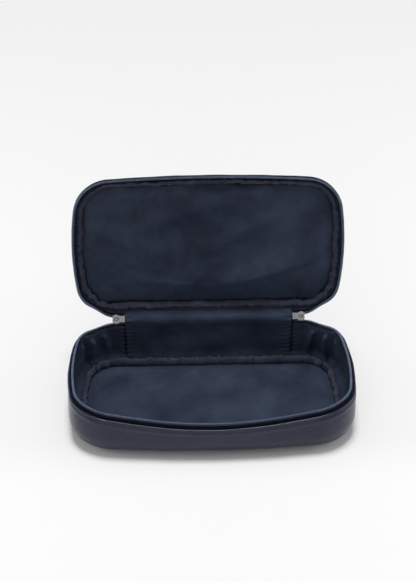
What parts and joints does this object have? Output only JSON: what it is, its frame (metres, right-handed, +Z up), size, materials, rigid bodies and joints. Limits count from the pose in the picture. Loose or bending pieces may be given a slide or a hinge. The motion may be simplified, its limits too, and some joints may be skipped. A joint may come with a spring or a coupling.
{
  "type": "zip-around jewellery case",
  "caption": "Leather zip-around case with a shallow lid that opens on a soft spine, twill lining with bound seams, and two metal zip sliders with pulls.",
  "frame": {"origin": "centre of the flat underside of the base", "axes": "+X along the length of the case, -Y to the front (the zip opens there), +Y to the hinge, +Z up"},
  "size_m": [0.234, 0.1571, 0.173],
  "materials": {
    "leather": "smooth navy leather, satin",
    "lining": "navy twill, soft sheen",
    "binding": "woven binding tape",
    "zip_tape": "woven zip tape",
    "zip_coil": "nylon coil, semi-gloss",
    "metal": "polished nickel",
    "board": "grey board",
    "padding": "thin foam",
    "interlining": "bonded fibre interlining"
  },
  "bodies": {
    "base": {"base_leather_wall": "leather", "base_spine_leather": "leather", "base_leather_panel": "leather", "base_board": "board", "base_padding": "padding", "base_interlining": "interlining", "base_wall_lining": "lining", "base_hinge_lining": "lining", "base_panel_lining": "lining", "base_seam_binding": "binding", "base_zip_tape": "zip_tape", "base_zip_coil": "zip_coil"},
    "lid": {"lid_leather_wall": "leather", "lid_spine_leather": "leather", "lid_leather_panel": "leather", "lid_board": "board", "lid_padding": "padding", "lid_interlining": "interlining", "lid_wall_lining": "lining", "lid_hinge_lining": "lining", "lid_panel_lining": "lining", "lid_seam_binding": "binding", "lid_zip_tape": "zip_tape", "lid_zip_coil": "zip_coil"},
    "zip_end_left": {"zip_stop_left": "metal"},
    "slider_left": {"slider_body_left": "metal", "slider_crown_left": "metal"},
    "pull_left": {"pull_tab_left": "metal"},
    "zip_end_right": {"zip_stop_right": "metal"},
    "slider_right": {"slider_body_right": "metal", "slider_crown_right": "metal"},
    "pull_right": {"pull_tab_right": "metal"}
  },
  "joints": [
    {"name": "lid_hinge", "type": "hinge", "parent": "base", "child": "lid", "pos_m": [0, 0.0655, 0.044], "axis": [-1, 0, 0], "range_deg": [-96, 12]},
    {"name": "zip_end_tilt_left", "type": "hinge", "parent": "base", "child": "zip_end_left", "pos_m": [-0.0761, 0.0655, 0.044], "axis": [-1, 0, 0], "range_deg": [-48, 6]},
    {"name": "slider_run_left", "type": "slide", "parent": "zip_end_left", "child": "slider_left", "axis": [-1, 0, 0], "range_m": [0, 0.006]},
    {"name": "pull_swing_left", "type": "hinge", "parent": "slider_left", "child": "pull_left", "pos_m": [-0.0761, 0.06624, 0.04318], "axis": [0, 0.7431, 0.6691], "range_deg": [-60, 80]},
    {"name": "zip_end_tilt_right", "type": "hinge", "parent": "base", "child": "zip_end_right", "pos_m": [0.0761, 0.0655, 0.044], "axis": [-1, 0, 0], "range_deg": [-48, 6]},
    {"name": "slider_run_right", "type": "slide", "parent": "zip_end_right", "child": "slider_right", "axis": [1, 0, 0], "range_m": [0, 0.006]},
    {"name": "pull_swing_right", "type": "hinge", "parent": "slider_right", "child": "pull_right", "pos_m": [0.0761, 0.06624, 0.04318], "axis": [0, 0.7431, 0.6691], "range_deg": [-80, 60]}
  ],
  "couplings": [
    {"joint": "zip_end_tilt_left", "follows": "lid_hinge", "ratio": 0.5},
    {"joint": "zip_end_tilt_right", "follows": "lid_hinge", "ratio": 0.5}
  ]
}
